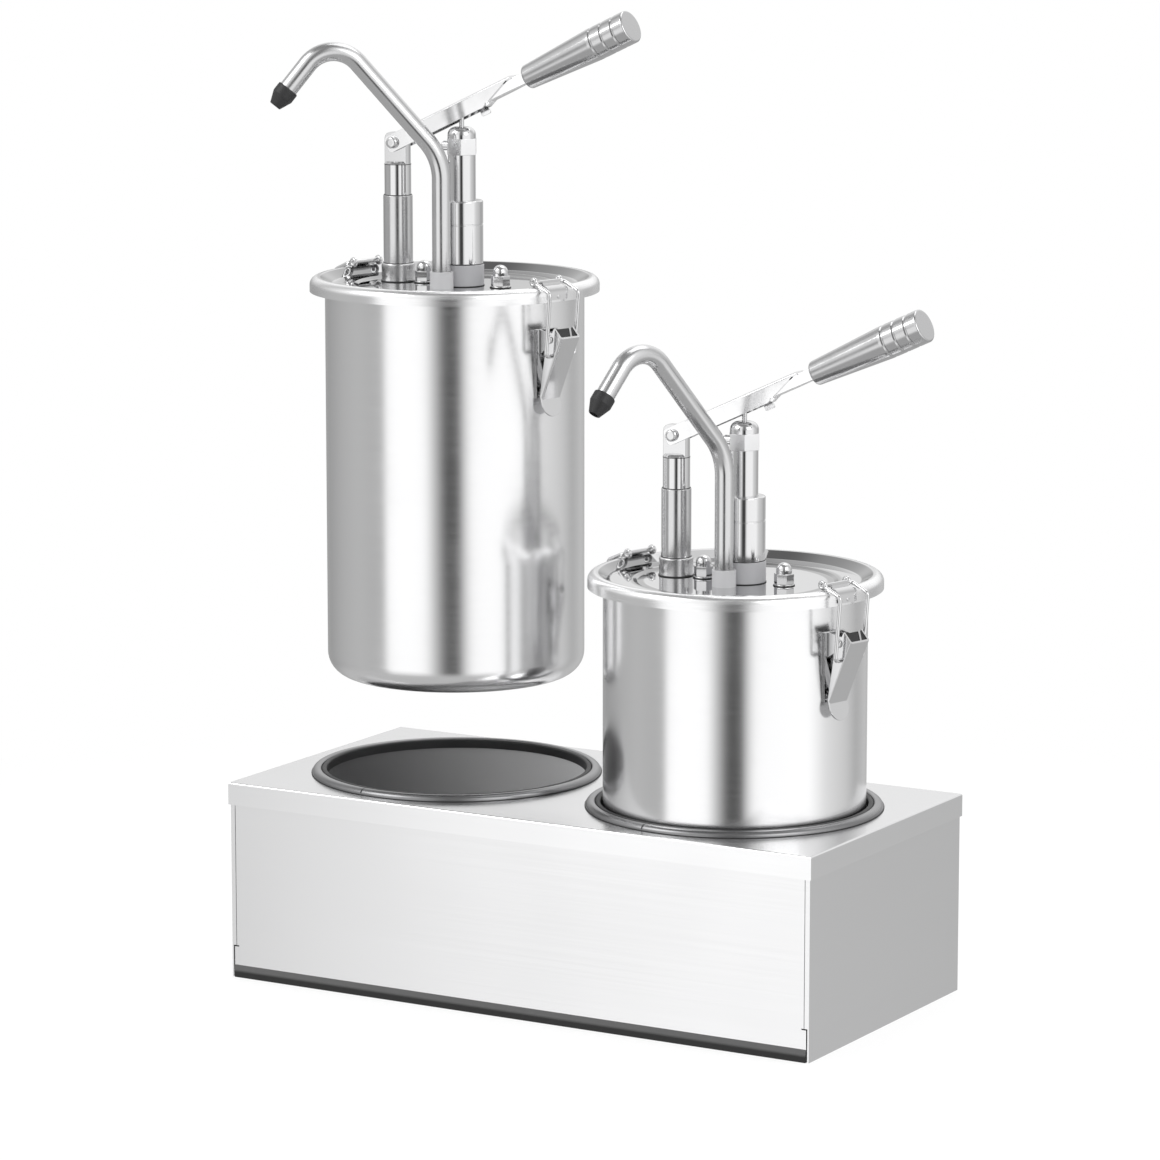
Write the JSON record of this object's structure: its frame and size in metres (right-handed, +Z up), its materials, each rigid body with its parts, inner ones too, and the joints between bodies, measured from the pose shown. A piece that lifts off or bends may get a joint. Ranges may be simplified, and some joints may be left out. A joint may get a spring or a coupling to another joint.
{
  "type": "sauce dispenser",
  "caption": "Countertop sauce dispenser: lidded steel jars with lever pumps, swivelling spouts and toggle latches, standing in the wells of a steel housing.",
  "frame": {"origin": "centre of the base's underside, on the surface it stands on", "axes": "+Z up, +X along the base towards the seated jar and the handles' ends, +Y to the back"},
  "size_m": [0.432, 0.2184, 0.6021],
  "materials": {
    "brushed_sheet": "brushed along the length",
    "satin_steel": "satin, brushed round the wall",
    "polished_steel": "mirror polished",
    "inner_steel": "plain",
    "grip_metal": "satin turned",
    "grey_plastic": "matte",
    "black_rubber": "matte",
    "dark_liner": "satin dark coating",
    "seal_silicone": "matte"
  },
  "bodies": {
    "base": {"base_cover": "brushed_sheet", "base_body": "brushed_sheet", "bottom_plate": "brushed_sheet", "edge_strips": "black_rubber", "well_liner_left": "dark_liner", "well_liner_right": "dark_liner", "well_rings": "satin_steel", "well_gaskets": "black_rubber"},
    "left_jar": {"left_container": "satin_steel", "left_lid": "polished_steel", "left_lid_seal": "seal_silicone", "left_latch_plates": "polished_steel", "left_latch_catches": "polished_steel", "left_post_sleeve": "polished_steel", "left_post_rod": "polished_steel", "left_pivot_bolt": "polished_steel", "left_pump_block": "grey_plastic", "left_outlet_block": "grey_plastic", "left_pump_sleeve": "polished_steel", "left_pump_body": "inner_steel", "left_foot_valve": "inner_steel", "left_lid_nuts": "polished_steel", "left_return_spring": "inner_steel"},
    "left_lever": {"left_lever_bar": "polished_steel", "left_lever_grip": "grip_metal"},
    "left_plunger": {"left_plunger_tube": "polished_steel", "left_cap_nut": "polished_steel", "left_piston_rod": "inner_steel"},
    "left_spout": {"left_spout_tube": "polished_steel", "left_nozzle_tip": "black_rubber"},
    "left_latch_east": {"left_latch_lever_east": "polished_steel"},
    "left_bail_east": {"left_latch_bail_east": "polished_steel"},
    "left_latch_west": {"left_latch_lever_west": "polished_steel"},
    "left_bail_west": {"left_latch_bail_west": "polished_steel"},
    "right_jar": {"right_container": "satin_steel", "right_lid": "polished_steel", "right_lid_seal": "seal_silicone", "right_latch_plates": "polished_steel", "right_latch_catches": "polished_steel", "right_post_sleeve": "polished_steel", "right_post_rod": "polished_steel", "right_pivot_bolt": "polished_steel", "right_pump_block": "grey_plastic", "right_outlet_block": "grey_plastic", "right_pump_sleeve": "polished_steel", "right_pump_body": "inner_steel", "right_foot_valve": "inner_steel", "right_lid_nuts": "polished_steel", "right_return_spring": "inner_steel"},
    "right_lever": {"right_lever_bar": "polished_steel", "right_lever_grip": "grip_metal"},
    "right_plunger": {"right_plunger_tube": "polished_steel", "right_cap_nut": "polished_steel", "right_piston_rod": "inner_steel"},
    "right_spout": {"right_spout_tube": "polished_steel", "right_nozzle_tip": "black_rubber"},
    "right_latch_east": {"right_latch_lever_east": "polished_steel"},
    "right_bail_east": {"right_latch_bail_east": "polished_steel"},
    "right_latch_west": {"right_latch_lever_west": "polished_steel"},
    "right_bail_west": {"right_latch_bail_west": "polished_steel"}
  },
  "joints": [
    {"name": "left_lift", "type": "slide", "parent": "base", "child": "left_jar", "axis": [0, 0, 1], "range_m": [-0.168, 0]},
    {"name": "left_lever_hinge", "type": "hinge", "parent": "left_jar", "child": "left_lever", "pos_m": [-0.14, 0, 0.5167], "axis": [0, 1, 0], "range_deg": [0, 27]},
    {"name": "left_plunger_slide", "type": "slide", "parent": "left_jar", "child": "left_plunger", "axis": [0, 0, 1], "range_m": [-0.0276, 0], "stiffness_N_per_m": 500, "springref_m": 0.03, "deforming": ["left_return_spring"]},
    {"name": "left_spout_swivel", "type": "hinge", "parent": "left_jar", "child": "left_spout", "pos_m": [-0.096, -0.02, 0.4355], "axis": [0, 0, 1], "range_deg": [-5, 105]},
    {"name": "left_latch_east_hinge", "type": "hinge", "parent": "left_jar", "child": "left_latch_east", "pos_m": [-0.0109, -0.02278, 0.405], "axis": [-0.2504, -0.9681, 0], "range_deg": [0, 45]},
    {"name": "left_bail_east_hinge", "type": "hinge", "parent": "left_latch_east", "child": "left_bail_east", "pos_m": [-0.00988, -0.02305, 0.3949], "axis": [-0.2504, -0.9681, 0], "range_deg": [-35.17, 0]},
    {"name": "left_latch_west_hinge", "type": "hinge", "parent": "left_jar", "child": "left_latch_west", "pos_m": [-0.1871, 0.02278, 0.405], "axis": [0.2504, 0.9681, 0], "range_deg": [0, 80]},
    {"name": "left_bail_west_hinge", "type": "hinge", "parent": "left_latch_west", "child": "left_bail_west", "pos_m": [-0.18812, 0.02305, 0.3949], "axis": [0.2504, 0.9681, 0], "range_deg": [-62.3, 0]},
    {"name": "right_lift", "type": "slide", "parent": "base", "child": "right_jar", "axis": [0, 0, 1], "range_m": [0, 0.168]},
    {"name": "right_lever_hinge", "type": "hinge", "parent": "right_jar", "child": "right_lever", "pos_m": [0.058, 0, 0.3487], "axis": [0, 1, 0], "range_deg": [0, 27]},
    {"name": "right_plunger_slide", "type": "slide", "parent": "right_jar", "child": "right_plunger", "axis": [0, 0, 1], "range_m": [-0.0276, 0], "stiffness_N_per_m": 500, "springref_m": 0.03, "deforming": ["right_return_spring"]},
    {"name": "right_spout_swivel", "type": "hinge", "parent": "right_jar", "child": "right_spout", "pos_m": [0.102, -0.02, 0.2675], "axis": [0, 0, 1], "range_deg": [-35, 75]},
    {"name": "right_latch_east_hinge", "type": "hinge", "parent": "right_jar", "child": "right_latch_east", "pos_m": [0.1871, -0.02278, 0.237], "axis": [-0.2504, -0.9681, 0], "range_deg": [0, 80]},
    {"name": "right_bail_east_hinge", "type": "hinge", "parent": "right_latch_east", "child": "right_bail_east", "pos_m": [0.18812, -0.02305, 0.2269], "axis": [-0.2504, -0.9681, 0], "range_deg": [-62.3, 0]},
    {"name": "right_latch_west_hinge", "type": "hinge", "parent": "right_jar", "child": "right_latch_west", "pos_m": [0.0109, 0.02278, 0.237], "axis": [0.2504, 0.9681, 0], "range_deg": [0, 45]},
    {"name": "right_bail_west_hinge", "type": "hinge", "parent": "right_latch_west", "child": "right_bail_west", "pos_m": [0.00988, 0.02305, 0.2269], "axis": [0.2504, 0.9681, 0], "range_deg": [-35.17, 0]}
  ],
  "couplings": [
    {"joint": "left_plunger_slide", "follows": "left_lever_hinge", "m_per_rad": -0.0582},
    {"joint": "left_bail_east_hinge", "follows": "left_latch_east_hinge", "ratio": -0.775},
    {"joint": "left_bail_west_hinge", "follows": "left_latch_west_hinge", "ratio": -0.775},
    {"joint": "right_plunger_slide", "follows": "right_lever_hinge", "m_per_rad": -0.0582},
    {"joint": "right_bail_east_hinge", "follows": "right_latch_east_hinge", "ratio": -0.775},
    {"joint": "right_bail_west_hinge", "follows": "right_latch_west_hinge", "ratio": -0.775}
  ]
}
